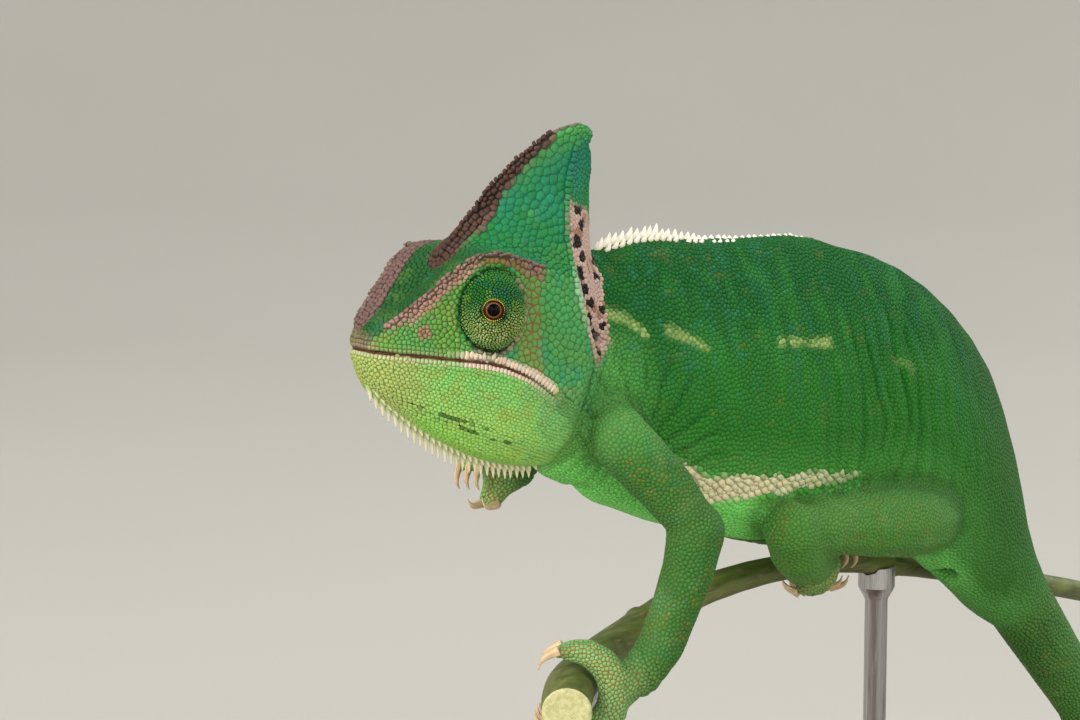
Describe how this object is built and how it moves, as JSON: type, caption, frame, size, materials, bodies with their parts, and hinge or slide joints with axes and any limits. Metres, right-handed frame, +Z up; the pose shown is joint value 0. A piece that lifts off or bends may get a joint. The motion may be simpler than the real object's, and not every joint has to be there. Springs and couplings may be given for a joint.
{
  "type": "chameleon",
  "caption": "Life-size veiled chameleon with a tall casque, striding along a cut stem that it grips, with a curled tail, on a plain base with upright rods.",
  "frame": {"origin": "centre of the underside of the stand's base, on the floor", "axes": "+Z up; the chameleon faces -Y along the base's length, with its left side towards +X"},
  "size_m": [0.096, 0.2, 0.1504],
  "materials": {
    "skin_head": "matte, flat polygonal scales",
    "skin_throat": "matte, rows of small scales",
    "skin_body": "satin, small round scales",
    "skin_tail": "satin, small scales in rings",
    "skin_limb": "satin, small scales in rings",
    "eye": "wet gloss",
    "claw": "satin horn",
    "stem": "smooth green-brown bark",
    "base_wood": "satin varnish",
    "rod_steel": "brushed"
  },
  "bodies": {
    "root": {"casque": "skin_head", "head": "skin_head", "lower_jaw": "skin_throat", "eye_turret_left": "skin_head", "eye_left": "eye", "eye_turret_right": "skin_head", "eye_right": "eye", "neck": "skin_body", "trunk": "skin_body", "tail_root": "skin_tail", "tail_middle": "skin_tail", "tail_curl": "skin_tail", "tail_tip": "skin_tail", "upper_arm_left": "skin_limb", "forearm_left": "skin_limb", "hand_left": "skin_limb", "upper_arm_right": "skin_limb", "forearm_right": "skin_limb", "hand_right": "skin_limb", "thigh_left": "skin_limb", "shin_left": "skin_limb", "foot_left": "skin_limb", "thigh_right": "skin_limb", "shin_right": "skin_limb", "foot_right": "skin_limb", "claw_front_left_1": "claw", "claw_front_left_2": "claw", "claw_front_left_3": "claw", "claw_front_left_4": "claw", "claw_front_left_5": "claw", "claw_front_right_1": "claw", "claw_front_right_2": "claw", "claw_front_right_3": "claw", "claw_front_right_4": "claw", "claw_front_right_5": "claw", "claw_hind_left_1": "claw", "claw_hind_left_2": "claw", "claw_hind_left_3": "claw", "claw_hind_left_4": "claw", "claw_hind_left_5": "claw", "claw_hind_right_1": "claw", "claw_hind_right_2": "claw", "claw_hind_right_3": "claw", "claw_hind_right_4": "claw", "claw_hind_right_5": "claw", "perch": "stem", "stand_base": "base_wood", "stand_rod_front": "rod_steel", "stand_rod_rear": "rod_steel"}
  },
  "joints": []
}
